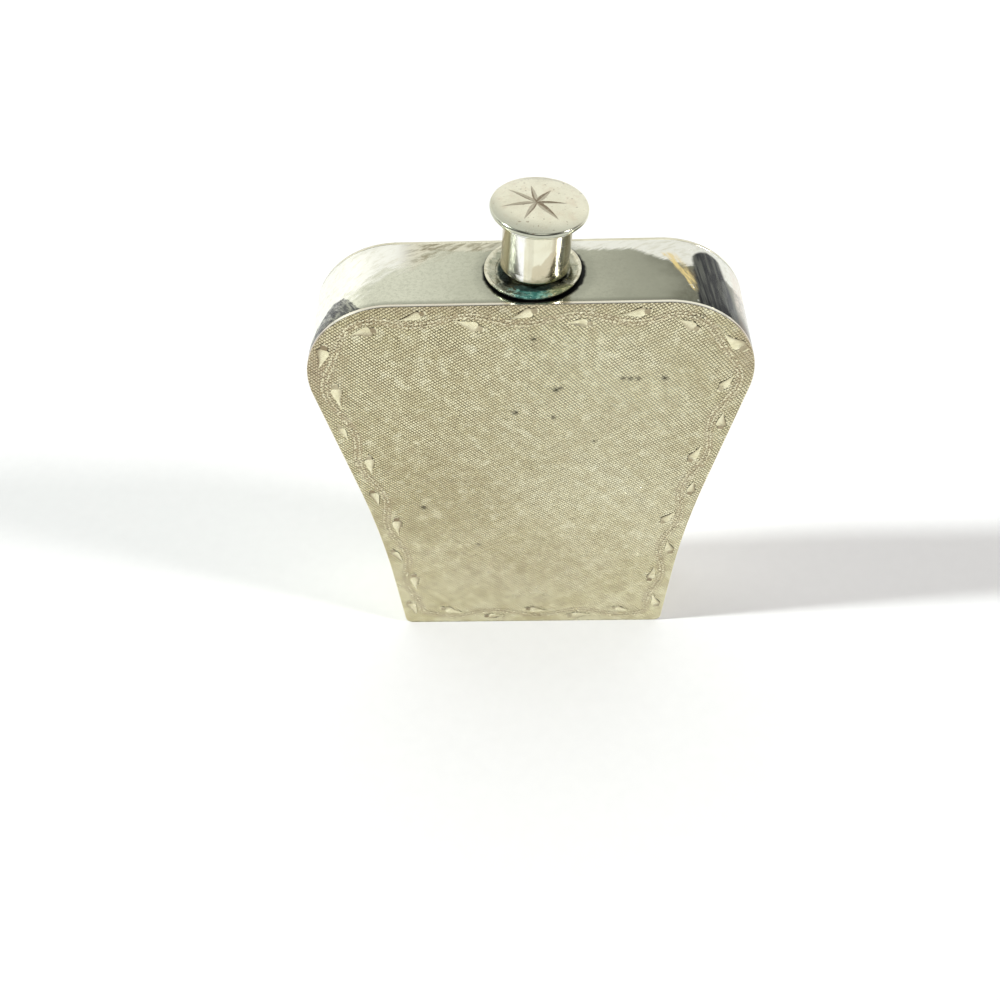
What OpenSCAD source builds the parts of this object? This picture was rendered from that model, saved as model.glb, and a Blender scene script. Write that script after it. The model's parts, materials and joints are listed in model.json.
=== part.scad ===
// Pocket hip flask with a tapering flat body and a mushroom screw cap.
// Millimetres, +Z up. The origin is the centre of the underside, on the surface the flask stands on.
// The engraved front faces -Y. Heights written "above the top" start from the body's flat top.

/* [Body] */
// Width of the body across the shoulders
body_w = 86; // [80:1:95]
// Height of the body, from its underside to its flat top
body_h = 98.8; // [95:0.2:105]
// Thickness of the body, from front to back
body_t = 19.6; // [18:0.2:23]
// Thickness of the sheet metal
sheet = 0.8; // [0.6:0.1:1]
// Radius of the round shoulders
shoulder_r = 17.8; // [16:0.2:19]
// Angle of the straight upper flanks from upright, in degrees
upper_taper = 11.8; // [10:0.2:13]
// Angle of the straight lower flanks from upright, in degrees
foot_taper = 4.4; // [3:0.2:6]
// Height at which the hollow of the waist begins
waist_z = 50.4; // [48:0.2:54]
// Radius of the hollow waist
waist_r = 250; // [220:5:280]
// Radius of the bottom corners
corner_r = 1.8; // [1.4:0.2:2.4]

/* [Neck] */
// How far the collar sits to the right of the body's middle
collar_x = 0.8; // [0:0.1:1]
// How far the neck sits to the right of the body's middle
neck_x = 1.1; // [0:0.1:1.2]
// Lean of the neck and its cap to the right, in degrees
neck_lean = 4; // [0:0.5:4]
// Inside radius of the neck tube
neck_bore_r = 4.1; // [3.9:0.1:4.2]
// Outside radius of the neck tube, without its thread
neck_r = 4.85; // [4.8:0.05:4.9]
// Height of the neck tube above the top
neck_h = 9.6; // [9.4:0.1:9.8]
// Radius of the saucer-shaped collar
collar_r = 9.1; // [8.8:0.1:9.6]
// Height of the collar's rim
collar_h = 1; // [0.9:0.05:1.1]

/* [Thread] */
// Rise of the thread in one turn
thread_pitch = 1.8; // [1.6:0.1:2]
// Depth of the thread
thread_depth = 0.45; // [0.35:0.05:0.5]
// Gap between the two threads, measured on the radius
thread_gap = 0.12; // [0.08:0.02:0.16]

/* [Cap] */
// Radius of the cap's domed top plate
cap_r = 8.9; // [8.6:0.05:9.1]
// Height of the top plate's rim above the top
cap_rim_h = 14.6; // [14.4:0.1:14.8]
// Rise of the dome above the rim
dome_rise = 1; // [0.6:0.1:1.2]
// Outside radius of the cap's stem
stem_r = 6.35; // [6.3:0.05:6.4]
// Height of the stem's lower edge above the top
stem_foot_h = 1.95; // [1.6:0.05:2.2]

/* [Hidden] */

// Colours
plate_colour = [0.72, 0.7, 0.56];
band_colour = [0.68, 0.69, 0.62];
neck_colour = [0.7, 0.66, 0.5];
cap_colour = [0.8, 0.79, 0.72];
cork_colour = [0.6, 0.42, 0.26];

// Body outline
arc_steps = 24;
shoulder_x = body_w / 2 - shoulder_r;
shoulder_z = body_h - shoulder_r;
inner_t = body_t - 2 * sheet;
base_seam = 3;

// Neck
neck_foot_r = 6.2;
neck_foot_t = 0.8;
neck_sink = 1.2;
collar_well_r = 7;
collar_well_t = 0.35;
collar_foot_r = collar_r - 0.35;
collar_lip = 0.25;

// Thread
turn_steps = 30;
ridge_root = 1.0;
ridge_crest = 0.45;
ridge_bite = 0.3;
thread_z = 3.4;
thread_turns = 3;
crest_r = neck_r + thread_depth;

// Cap
rim_t = 1.1;
rim_round = 0.45;
dome_steps = 8;
under_r = cap_r - 0.5;
under_t = 0.5;
stem_wall = 0.45;
stem_flare = 0.2;
stem_bore_r = stem_r - stem_wall;
rim_foot_h = cap_rim_h - rim_t;
stem_top_h = rim_foot_h - under_t;
sleeve_z = 2.6;
sleeve_top = neck_h - 0.2;
cork_gap = 0.3;

// Star cut in the dome: direction and length of each ray
star = [[1, 5.5], [55, 4.7], [100, 5.4], [141, 6.6], [190, 6.4], [245, 5.3], [310, 6]];
star_hub_r = 0.55;
star_depth = 0.12;

// Points on an arc, from one angle to the other
function arc(cx, cz, r, from, to, steps = arc_steps) =
  [for (i = [0:steps]) let (a = from + (to - from) * i / steps) [cx + r * cos(a), cz + r * sin(a)]];

// Right half of the body's outline, from the underside up, set in from the outside by a distance
function half_outline(inset) =
  let (
    r = shoulder_r,
    top = [shoulder_x + r * cos(upper_taper), shoulder_z - r * sin(upper_taper)],
    waist = [top[0] - (top[1] - waist_z) * tan(upper_taper), waist_z],
    centre = [waist[0] + waist_r * cos(upper_taper), waist[1] - waist_r * sin(upper_taper)],
    foot = [centre[0] - waist_r * cos(foot_taper), centre[1] + waist_r * sin(foot_taper)],
    corner_x = foot[0] - (foot[1] - corner_r) * tan(foot_taper) - corner_r / cos(foot_taper)
  )
  concat(
    arc(corner_x, corner_r, corner_r - inset, -90, -foot_taper, 8),
    arc(centre[0], centre[1], waist_r + inset, 180 - foot_taper, 180 - upper_taper),
    arc(shoulder_x, shoulder_z, shoulder_r - inset, -upper_taper, 90, 48)
  );

// Whole outline, from its right half
module outline(inset) {
  half = half_outline(inset);
  n = len(half) - 1;
  polygon(concat(half, [for (i = [0:n]) [-half[n - i][0], half[n - i][1]]]));
}

// The outline as an upright slab between two depths
module slab(inset, from, to) {
  translate([0, to, 0])
    rotate([90, 0, 0])
      linear_extrude(to - from)
        outline(inset);
}

// Half width of the straight underside between the bottom corners
function base_half() = half_outline(0)[0][0];

// Stands what follows on the leaning axis of the neck, with heights above the top
module on_neck() {
  translate([neck_x, 0, body_h])
    rotate([0, neck_lean, 0])
      children();
}

module front_plate() {
  color(plate_colour)
    slab(0, -body_t / 2, -inner_t / 2);
}

module back_plate() {
  color(plate_colour)
    slab(0, inner_t / 2, body_t / 2);
}

// One strip wrapped round the sides, shoulders and top, open below and drilled for the neck
module side_band() {
  color(band_colour)
    difference() {
      slab(0, -inner_t / 2, inner_t / 2);
      slab(sheet, -body_t / 2, body_t / 2);
      translate([-base_half() + base_seam, -body_t / 2, -sheet])
        cube([2 * (base_half() - base_seam), body_t, 2 * sheet]);
      on_neck()
        translate([0, 0, -3 * sheet])
          cylinder(h = 5 * sheet, r = neck_r, $fn = 64);
    }
}

// Closes the underside between the turned-in ends of the band
module base_plate() {
  color(band_colour)
    translate([-base_half() + base_seam, -inner_t / 2, 0])
      cube([2 * (base_half() - base_seam), inner_t, sheet]);
}

// Saucer round the neck that catches drips: a raised lip, a sloping inside and a flat well
module neck_collar() {
  color(neck_colour)
    difference() {
      translate([collar_x, 0, body_h])
        rotate_extrude($fn = 96)
          polygon([
            [0, 0],
            [collar_foot_r, 0],
            [collar_r, collar_h - collar_lip],
            [collar_r, collar_h - collar_lip / 2],
            [collar_r - collar_lip / 2, collar_h],
            [collar_r - 2 * collar_lip, collar_h],
            [collar_well_r, collar_well_t + 0.2],
            [collar_well_r, collar_well_t],
            [0, collar_well_t]
          ]);
      on_neck()
        translate([0, 0, -1])
          cylinder(h = 3, r = neck_r, $fn = 64);
    }
}

// Corners of a thread ridge at one step of its helix, fading in and out over a quarter turn.
// The ridge runs from its root on base_r to its crest on tip_r.
function ridge(i, steps, base_r, tip_r) =
  let (
    a = 360 * i / turn_steps,
    z = thread_pitch * i / turn_steps,
    fade = min(1, 0.15 + 4 * min(i, steps - i) / turn_steps),
    tip = base_r + (tip_r - base_r) * fade
  )
  [for (p = [[base_r, -ridge_root / 2], [base_r, ridge_root / 2],
             [tip, ridge_crest / 2], [tip, -ridge_crest / 2]])
    [p[0] * cos(a), p[0] * sin(a), z + p[1]]];

// A right-hand helical ridge. Its faces turn the other way when the ridge points outwards.
module thread_ridge(turns, base_r, tip_r) {
  steps = round(turns * turn_steps);
  points = [for (i = [0:steps]) each ridge(i, steps, base_r, tip_r)];
  sides = [for (i = [0:steps - 1]) for (k = [0:3])
    let (a = 4 * i + k, b = 4 * i + (k + 1) % 4)
      each [[a, b, b + 4], [a, b + 4, a + 4]]];
  last = 4 * steps;
  ends = [[0, 3, 2], [0, 2, 1], [last, last + 1, last + 2], [last, last + 2, last + 3]];
  faces = concat(sides, ends);
  polyhedron(points, tip_r < base_r ? faces : [for (f = faces) [f[2], f[1], f[0]]]);
}

// Threaded spout with a flange inside the body that it is soldered up against
module neck_tube() {
  color(neck_colour)
    difference() {
      union() {
        translate([neck_x, 0, body_h - sheet - neck_foot_t])
          cylinder(h = neck_foot_t, r = neck_foot_r, $fn = 64);
        on_neck() {
          translate([0, 0, -neck_sink])
            cylinder(h = neck_h + neck_sink, r = neck_r, $fn = 64);
          translate([0, 0, thread_z])
            thread_ridge(thread_turns, neck_r - ridge_bite, crest_r);
        }
      }
      on_neck()
        translate([0, 0, -3])
          cylinder(h = neck_h + 4, r = neck_bore_r, $fn = 64);
    }
}

// Cork disc that the screwed-down cap presses on the neck's rim
module cork_liner() {
  color(cork_colour)
    on_neck()
      translate([0, 0, neck_h])
        cylinder(h = stem_top_h - neck_h, r = stem_bore_r - cork_gap, $fn = 64);
}

// The top plate without its star, turned about its axis
module plain_top_plate() {
  dome_r = (pow(cap_r - rim_round, 2) + pow(dome_rise, 2)) / (2 * dome_rise);
  dome_edge = asin((cap_r - rim_round) / dome_r);
  rim_points = arc(cap_r - rim_round, cap_rim_h - rim_round, rim_round, 0, 90 - dome_edge, 4);
  dome_points = arc(0, cap_rim_h + dome_rise - dome_r, dome_r, 90 - dome_edge, 90, dome_steps);
  rotate_extrude($fn = 96)
    polygon(concat(
      [[0, rim_foot_h], [cap_r - rim_round, rim_foot_h], [cap_r, rim_foot_h + rim_round]],
      rim_points, dome_points
    ));
}

// Plan of the star: each ray runs out from the hub to a point, and the next begins midway between
module star_plan() {
  n = len(star) - 1;
  polygon([for (i = [0:n])
    let (
      a = star[i][0],
      next = i < n ? star[i + 1][0] : star[0][0] + 360,
      mid = (a + next) / 2
    )
    each [[star[i][1] * cos(a), star[i][1] * sin(a)], [star_hub_r * cos(mid), star_hub_r * sin(mid)]]
  ]);
}

// Domed top plate of the cap, with a rounded rim and an engraved star that follows the dome
module cap_top_plate() {
  color(cap_colour)
    on_neck()
      difference() {
        plain_top_plate();
        difference() {
          translate([0, 0, rim_foot_h + rim_round])
            linear_extrude(rim_t + dome_rise)
              star_plan();
          translate([0, 0, -star_depth])
            plain_top_plate();
        }
      }
}

// Smaller plate soldered under the top plate, whose edge shows as a second line
module cap_under_plate() {
  color(cap_colour)
    on_neck()
      rotate_extrude($fn = 96)
        polygon([
          [0, stem_top_h],
          [under_r - 0.25, stem_top_h],
          [under_r, stem_top_h + 0.2],
          [under_r, rim_foot_h - 0.12],
          [under_r - 0.12, rim_foot_h],
          [0, rim_foot_h]
        ]);
}

// Thin outer tube of the cap, slightly flared at its foot and under the plates
module cap_stem() {
  foot_r = stem_r + stem_flare;
  color(cap_colour)
    on_neck()
      rotate_extrude($fn = 96)
        polygon([
          [stem_bore_r, stem_foot_h],
          [foot_r - 0.1, stem_foot_h],
          [foot_r, stem_foot_h + 0.12],
          [stem_r + 0.06, stem_foot_h + 1.2],
          [stem_r, stem_foot_h + 3],
          [stem_r, stem_top_h - 0.9],
          [stem_r + 0.15, stem_top_h - 0.35],
          [stem_r + 0.55, stem_top_h],
          [stem_bore_r, stem_top_h]
        ]);
}

// Threaded sleeve soldered inside the stem
module cap_thread_sleeve() {
  bore = crest_r + thread_gap;
  color(neck_colour)
    on_neck() {
      difference() {
        translate([0, 0, sleeve_z])
          cylinder(h = sleeve_top - sleeve_z, r = stem_bore_r, $fn = 64);
        translate([0, 0, sleeve_z - 1])
          cylinder(h = sleeve_top - sleeve_z + 2, r = bore, $fn = 64);
      }
      translate([0, 0, thread_z])
        rotate([0, 0, 180])
          thread_ridge(thread_turns, bore + ridge_bite / 2, neck_r + thread_gap);
    }
}

front_plate();
back_plate();
side_band();
base_plate();
neck_collar();
neck_tube();
cork_liner();
cap_top_plate();
cap_under_plate();
cap_stem();
cap_thread_sleeve();
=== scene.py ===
"""The hip flask: engraved front, polished band, saucer collar and screw cap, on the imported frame."""
import json
import math

import bmesh
import bpy
import numpy as np
from mathutils import Matrix, Vector
from mathutils.geometry import delaunay_2d_cdt


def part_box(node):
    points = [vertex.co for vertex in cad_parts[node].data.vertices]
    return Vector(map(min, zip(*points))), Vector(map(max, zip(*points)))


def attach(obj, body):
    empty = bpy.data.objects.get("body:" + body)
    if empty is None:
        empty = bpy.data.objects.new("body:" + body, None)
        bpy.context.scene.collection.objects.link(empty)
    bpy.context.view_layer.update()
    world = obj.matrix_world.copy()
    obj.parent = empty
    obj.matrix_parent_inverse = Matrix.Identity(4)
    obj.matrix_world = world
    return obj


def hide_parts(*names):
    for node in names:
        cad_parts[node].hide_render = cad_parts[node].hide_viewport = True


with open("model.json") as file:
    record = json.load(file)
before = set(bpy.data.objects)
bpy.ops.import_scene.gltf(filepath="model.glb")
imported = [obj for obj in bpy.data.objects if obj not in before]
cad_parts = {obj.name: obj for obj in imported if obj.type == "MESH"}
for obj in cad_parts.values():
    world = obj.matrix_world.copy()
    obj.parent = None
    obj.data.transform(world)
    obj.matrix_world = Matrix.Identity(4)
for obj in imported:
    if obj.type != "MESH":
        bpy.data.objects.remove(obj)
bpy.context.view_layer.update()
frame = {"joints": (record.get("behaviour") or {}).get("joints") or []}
scene = bpy.context.scene
rng = np.random.default_rng(7)

# Lengths in this script are millimetres until a mesh is made
MM = 0.001


def node_box(node):
    """A CAD node's lowest and highest corners, in millimetres."""
    low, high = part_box(node)
    return np.array(low) / MM, np.array(high) / MM


PLATE_LOW, PLATE_HIGH = node_box("front_plate")
BACK_LOW, BACK_HIGH = node_box("back_plate")
COLLAR_LOW, COLLAR_HIGH = node_box("neck_collar")

WIDTH = PLATE_HIGH[0] - PLATE_LOW[0]
TOP = PLATE_HIGH[2]
FRONT = PLATE_LOW[1]
BACK = BACK_HIGH[1]
BAND_FRONT = PLATE_HIGH[1]
BAND_BACK = BACK_LOW[1]
SHEET = BAND_FRONT - FRONT
COLLAR_X = (COLLAR_LOW[0] + COLLAR_HIGH[0]) / 2
COLLAR_R = (COLLAR_HIGH[0] - COLLAR_LOW[0]) / 2

# The neck and cap stand on the cap joint's own axis, which leans a little
cap_joint = next(j for j in frame["joints"] if j["name"] == "cap_turn")
NECK_AXIS = Vector(cap_joint["axis"]).normalized()
NECK_POINT = Vector(cap_joint["pos_m"]) / MM

# --- shapes in the plane


def polar(angle, r=1.0):
    return r * math.cos(angle), r * math.sin(angle)


def arc(cx, cz, radius, start, end, steps):
    """Points on an arc, angles in degrees."""
    angles = np.radians(np.linspace(start, end, steps + 1))
    return np.column_stack([cx + radius * np.cos(angles), cz + radius * np.sin(angles)])


SHOULDER_R = 17.8
UPPER_TAPER = 11.8
FOOT_TAPER = 4.4
WAIST_Z = 50.4
WAIST_R = 250.0
CORNER_R = 1.8
FILLET_STEPS = 5


def half_outline(inset, corner_r=CORNER_R):
    """Right half of the body's outline, from the underside up, set in by a distance."""
    lean, foot_lean = math.radians(UPPER_TAPER), math.radians(FOOT_TAPER)
    shoulder = (WIDTH / 2 - SHOULDER_R, TOP - SHOULDER_R)
    top = (shoulder[0] + SHOULDER_R * math.cos(lean), shoulder[1] - SHOULDER_R * math.sin(lean))
    waist = (top[0] - (top[1] - WAIST_Z) * math.tan(lean), WAIST_Z)
    centre = (waist[0] + WAIST_R * math.cos(lean), waist[1] - WAIST_R * math.sin(lean))
    foot = (centre[0] - WAIST_R * math.cos(foot_lean), centre[1] + WAIST_R * math.sin(foot_lean))
    corner_x = foot[0] - (foot[1] - corner_r) * math.tan(foot_lean) - corner_r / math.cos(foot_lean)
    return np.vstack([
        arc(corner_x, corner_r, corner_r - inset, -90, -FOOT_TAPER, 12),
        arc(*centre, WAIST_R + inset, 180 - FOOT_TAPER, 180 - UPPER_TAPER, 24),
        arc(*shoulder, SHOULDER_R - inset, -UPPER_TAPER, 90, 64),
    ])


def whole_outline(inset, corner_r=CORNER_R):
    """The closed outline, counter-clockwise seen from the front, from the bottom right corner."""
    half = half_outline(inset, corner_r)
    return np.vstack([half, half[::-1] * [-1, 1]])


class Path:
    """A closed line walked clockwise, seen from the front, from the middle of its top."""

    def __init__(self, inset, corner_r):
        half = half_outline(inset, corner_r)
        start = np.array([[0.0, half[-1, 1]]])
        self.points = np.vstack([start, half[::-1], half * [-1, 1], start])
        steps = np.linalg.norm(np.diff(self.points, axis=0), axis=1)
        self.reach = np.concatenate([[0], np.cumsum(steps)])
        self.length = self.reach[-1]

    def at(self, s, out=0.0):
        """The point at a distance along the path, moved outwards, and the way forward and outward there."""
        s = s % self.length
        around = (s + np.array([-0.2, 0, 0.2])) % self.length
        back, here, ahead = np.column_stack([np.interp(around, self.reach, part) for part in self.points.T])
        forward = (ahead - back) / np.linalg.norm(ahead - back)
        outward = np.array([-forward[1], forward[0]])
        return here + out * outward, forward, outward


def signed_distance(points, loop):
    """How far each point lies inside a closed counter-clockwise loop; negative is outside."""
    a, b = loop, np.roll(loop, -1, axis=0)
    keep = np.linalg.norm(b - a, axis=1) > 1e-9
    a, b = a[keep], b[keep]
    edge = b - a
    size = np.linalg.norm(edge, axis=1)
    normal = np.column_stack([-edge[:, 1], edge[:, 0]]) / size[:, None]
    result = np.empty(len(points))
    for start in range(0, len(points), 4000):
        p = points[start:start + 4000]
        rel = p[:, None, :] - a[None]
        t = np.clip((rel * edge[None]).sum(2) / size[None] ** 2, 0, 1)
        off = rel - t[..., None] * edge[None]
        dist = np.linalg.norm(off, axis=2)
        side = (rel * normal[None]).sum(2)
        best = dist.argmin(1)
        rows = np.arange(len(p))
        result[start:start + 4000] = dist[rows, best] * np.sign(side[rows, best] + 1e-12)
    return result


def filleted(points):
    """A closed profile from (r, z, fillet radius) corners."""
    out = []
    n = len(points)
    for i, (r, z, radius) in enumerate(points):
        here = Vector((r, z))
        before = Vector(points[i - 1][:2]) - here
        after = Vector(points[(i + 1) % n][:2]) - here
        if radius <= 0:
            out.append((r, z))
            continue
        half = before.angle(after) / 2
        back = min(radius / math.tan(half), before.length * 0.49, after.length * 0.49)
        start, end = here + before.normalized() * back, here + after.normalized() * back
        for t in np.arange(FILLET_STEPS + 1) / FILLET_STEPS:
            out.append(tuple(start * (1 - t) ** 2 + here * 2 * t * (1 - t) + end * t ** 2))
    return out


# --- meshes

THREAD_TURNS = 3
THREAD_PITCH = 1.8
THREAD_FROM = 3.4
THREAD_STEPS = 72
RIDGE_ROOT = 1.0
RIDGE_CREST = 0.45


def placed(name, data):
    """A new object in the scene."""
    obj = bpy.data.objects.new(name, data)
    scene.collection.objects.link(obj)
    return obj


def make_object(name, verts, faces, slot, body, nodes, material, smooth=True, sharp=28, closed=True):
    """Makes a mesh object from millimetre points, with its body and the CAD nodes it stands for; the slot is not
    used.
    """
    mesh = bpy.data.meshes.new(name)
    mesh.from_pydata((np.asarray(verts, dtype=float) * MM).tolist(), [], [tuple(f) for f in faces])
    mesh.validate()
    if closed:
        shell = bmesh.new()
        shell.from_mesh(mesh)
        bmesh.ops.remove_doubles(shell, verts=shell.verts, dist=0.002 * MM)
        bmesh.ops.recalc_face_normals(shell, faces=shell.faces)
        shell.to_mesh(mesh)
        shell.free()
    if smooth:
        mesh.shade_smooth()
        mesh.set_sharp_from_angle(angle=math.radians(sharp))
    obj = placed(name, mesh)
    mesh.materials.append(material)
    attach(obj, body)
    if nodes:
        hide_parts(*nodes)
    return obj


def set_values(mesh, name, values):
    """Stores one number a vertex for a material to read."""
    layer = mesh.attributes.new(name, "FLOAT", "POINT")
    layer.data.foreach_set("value", np.asarray(values, dtype=np.float32))


def on_neck(part):
    """Moves (verts, faces) made about an upright axis, heights above the top, to the neck's leaning axis."""
    turn = Vector((0, 0, 1)).rotation_difference(NECK_AXIS).to_matrix()
    verts, faces = part
    return [tuple(turn @ Vector(v) + NECK_POINT) for v in verts], faces


def upright(part, x):
    """Moves (verts, faces) made about an upright axis to x on the top."""
    verts, faces = part
    return [(v[0] + x, v[1], v[2] + TOP) for v in verts], faces


def revolve(profile, segments=144):
    """Vertices and faces of a closed profile of (r, z) turned about the Z axis."""
    verts, faces, rings = [], [], []
    for r, z in profile:
        if r < 1e-6:
            rings.append([len(verts)] * segments)
            verts.append((0, 0, z))
            continue
        rings.append(list(range(len(verts), len(verts) + segments)))
        for k in range(segments):
            a = 2 * math.pi * k / segments
            verts.append((*polar(a, r), z))
    for i in range(len(rings)):
        one, two = rings[i], rings[(i + 1) % len(rings)]
        for k in range(segments):
            m = (k + 1) % segments
            face = list(dict.fromkeys([one[k], one[m], two[m], two[k]]))
            if len(face) > 2:
                faces.append(face)
    return verts, faces


def rings_joined(rings, n, closed=False):
    """Faces between rings of n points each, numbered ring after ring."""
    faces = []
    for i in range(rings if closed else rings - 1):
        j = (i + 1) % rings
        faces += [(i * n + k, i * n + (k + 1) % n, j * n + (k + 1) % n, j * n + k) for k in range(n)]
    return faces


def at_depths(loop_of, sections):
    """Vertices of body outlines, one for each (inset, depth), and how many an outline has."""
    loops = [loop_of(inset) for inset, _ in sections]
    return [(x, y, z) for loop, (_, y) in zip(loops, sections) for x, z in loop], len(loops[0])


def helix(base_r, tip_r, turn=0.0):
    """A right-hand thread ridge that fades in and out over a quarter turn."""
    root, crest = RIDGE_ROOT / 2, RIDGE_CREST / 2
    shape = [(0, -root), (0.85, -crest - 0.05), (1, -crest + 0.06),
             (1, crest - 0.06), (0.85, crest + 0.05), (0, root)]
    verts, n = [], len(shape)
    count = THREAD_TURNS * THREAD_STEPS
    for i in range(count + 1):
        a = turn + 2 * math.pi * i / THREAD_STEPS
        fade = min(1, 0.15 + 4 * min(i, count - i) / THREAD_STEPS)
        for out, dz in shape:
            r = base_r + (tip_r - base_r) * out * (fade if out else 1)
            verts.append((*polar(a, r), THREAD_FROM + THREAD_PITCH * i / THREAD_STEPS + dz))
    return verts, rings_joined(count + 1, n) + [tuple(range(n)), tuple(range(count * n, count * n + n))]


def joined(*parts):
    """Several (verts, faces) lists as one."""
    verts, faces = [], []
    for v, f in parts:
        faces += [tuple(i + len(verts) for i in face) for face in f]
        verts += list(v)
    return verts, faces


# --- materials

# Metres of height in the finest bumps
FINE_BUMP = 0.00003


class Value:
    """A node's output, which can be added to, taken from and multiplied by others and by numbers."""

    def __init__(self, nodes, socket):
        self.nodes = nodes
        self.socket = socket

    def __add__(self, other):
        return self.nodes.math("ADD", self, other)

    def __sub__(self, other):
        return self.nodes.math("SUBTRACT", self, other)

    def __rsub__(self, other):
        return self.nodes.math("SUBTRACT", other, self)

    def __mul__(self, other):
        return self.nodes.math("MULTIPLY", self, other)

    __radd__ = __add__


class Nodes:
    """A node tree being put together, with short calls for the nodes it needs."""

    def __init__(self, tree):
        self.tree = tree

    def put(self, node, values):
        for key, value in values.items():
            value = value.socket if isinstance(value, Value) else value
            if isinstance(value, bpy.types.NodeSocket):
                self.tree.links.new(value, node.inputs[key])
            else:
                node.inputs[key].default_value = value

    def add(self, kind, settings=None, **inputs):
        node = self.tree.nodes.new("ShaderNode" + kind)
        for key, value in (settings or {}).items():
            setattr(node, key, value)
        self.put(node, inputs)
        return node

    def math(self, operation, a, b=0.0, clamp=False):
        node = self.add("Math", {"operation": operation, "use_clamp": clamp})
        self.put(node, {0: a, 1: b})
        return Value(self, node.outputs[0])

    def either(self, a, b):
        return self.math("MAXIMUM", a, b)

    def band(self, value, low, high, to_low=0.0, to_high=1.0):
        """A value carried from one range to another, clamped, with soft ends."""
        node = self.add("MapRange", {"interpolation_type": "SMOOTHSTEP"})
        self.put(node, {0: value, 1: low, 2: high, 3: to_low, 4: to_high})
        return Value(self, node.outputs[0])

    def below(self, value, low, high):
        """1 under the low limit, falling to 0 at the high one."""
        return self.band(value, low, high, 1.0, 0.0)

    def between(self, value, low, full_from, full_to, high):
        """1 in the middle of a range, falling to 0 at its two ends."""
        return self.band(value, low, full_from) * self.below(value, full_to, high)

    def shaken(self, value, noise, amount):
        """A value moved to and fro by a noise."""
        return value + (noise - 0.5) * amount


class Shader(Nodes):
    """A material being put together: its colour, roughness and normal are built up in coats."""

    def __init__(self, name, **settings):
        self.material = bpy.data.materials.new(name)
        self.material.use_nodes = True
        super().__init__(self.material.node_tree)
        self.out = next(n for n in self.tree.nodes if n.type == "BSDF_PRINCIPLED")
        self.put(self.out, settings)
        self.place = self.add("TexCoord").outputs["Object"]
        parts = self.add("SeparateXYZ", Vector=self.place).outputs
        self.x, self.y, self.z = (Value(self, part) for part in parts)
        self.colour = self.roughness = self.normal = None

    def mix(self, factor, a, b):
        """A colour mix; a plain number tuple stands for a colour."""
        node = self.add("Mix", {"data_type": "RGBA"})
        for index, value in ((0, factor), (6, a), (7, b)):
            self.put(node, {index: (*value, 1.0) if isinstance(value, tuple) else value})
        return node.outputs[2]

    def coat(self, cover, tone):
        """Lays a tone over the colour so far, as strong as its cover."""
        self.colour = self.mix(cover, self.colour, tone)

    def roughen(self, amount):
        self.roughness = self.math("ADD", self.roughness, amount, True)

    def emboss(self, height, strength, distance):
        """Adds a bump to the normal so far."""
        node = self.add("Bump", Height=height, Strength=strength, Distance=distance)
        if self.normal:
            self.put(node, {"Normal": self.normal})
        self.normal = node.outputs[0]

    def stretch(self, scale, turn=(0, 0, 0)):
        """The position scaled per axis, on axes that are turned."""
        node = self.add("Mapping", {"vector_type": "TEXTURE"}, Vector=self.place)
        node.inputs["Rotation"].default_value = [math.radians(t) for t in turn]
        node.inputs["Scale"].default_value = [1 / s for s in scale]
        return node.outputs[0]

    def noise(self, scale, detail=3.0, rough=0.55, turn=(0, 0, 0)):
        """Noise from 0 to 1; a scale of three numbers stretches it along axes that are turned."""
        place = self.place
        if isinstance(scale, tuple):
            place, scale = self.stretch(scale, turn), 1.0
        node = self.add("TexNoise", Vector=place, Scale=scale, Detail=detail, Roughness=rough)
        return Value(self, node.outputs["Fac"])

    def around(self, x):
        """Distance from an upright line at x millimetres, y 0."""
        return self.length(self.x - x * MM, self.y)

    def length(self, a, b):
        return self.math("SQRT", a * a + b * b)

    def values(self, name):
        return Value(self, self.add("Attribute", {"attribute_name": name}).outputs["Fac"])

    def scratches(self, turn, width=9000, length=260, low=0.62, high=0.72):
        """Thin straight lines lying one way, from stretched noise."""
        return self.band(self.noise((length, width, width), 2.0, 0.5, turn), low, high)

    def finish(self):
        made = {"Base Color": self.colour, "Roughness": self.roughness}
        if self.normal:
            made["Normal"] = self.normal
        self.put(self.out, made)
        return self.material


def plated_metal(name, bright, dull, rough, patch_scale, wobble, scratch_turns=((0, 0, 12), (0, 0, 71))):
    """Worn silver plate: cloudy patches, fine scratches and a slightly wavy sheet."""
    s = Shader(name, Metallic=1.0)
    clouds = s.noise(patch_scale, 5.0, 0.6)
    s.colour = s.mix(s.band(clouds, 0.35, 0.7), bright, dull)
    marks = s.scratches(scratch_turns[0])
    for turn in scratch_turns[1:]:
        marks = s.either(marks, s.scratches(turn, length=420))
    s.roughness = s.band(clouds, 0.3, 0.75, *rough)
    s.roughen(marks * 0.12)
    s.emboss(s.noise(55, 1.0, 0.4), wobble, 0.002)
    s.emboss(marks, 0.12, FINE_BUMP)
    return s


# The hatching's colours from ridge to groove, and the painted highlight on its lit parts
RIDGE_LIGHT, RIDGE_DULL = (1.0, 0.96, 0.7), (0.85, 0.79, 0.5)
SLOPE_LIGHT, SLOPE_DULL = (0.93, 0.85, 0.545), (0.69, 0.615, 0.365)
GROOVE = (0.06, 0.046, 0.023)
PAINTED_HIGHLIGHT = (1.0, 0.96, 0.71)


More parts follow.
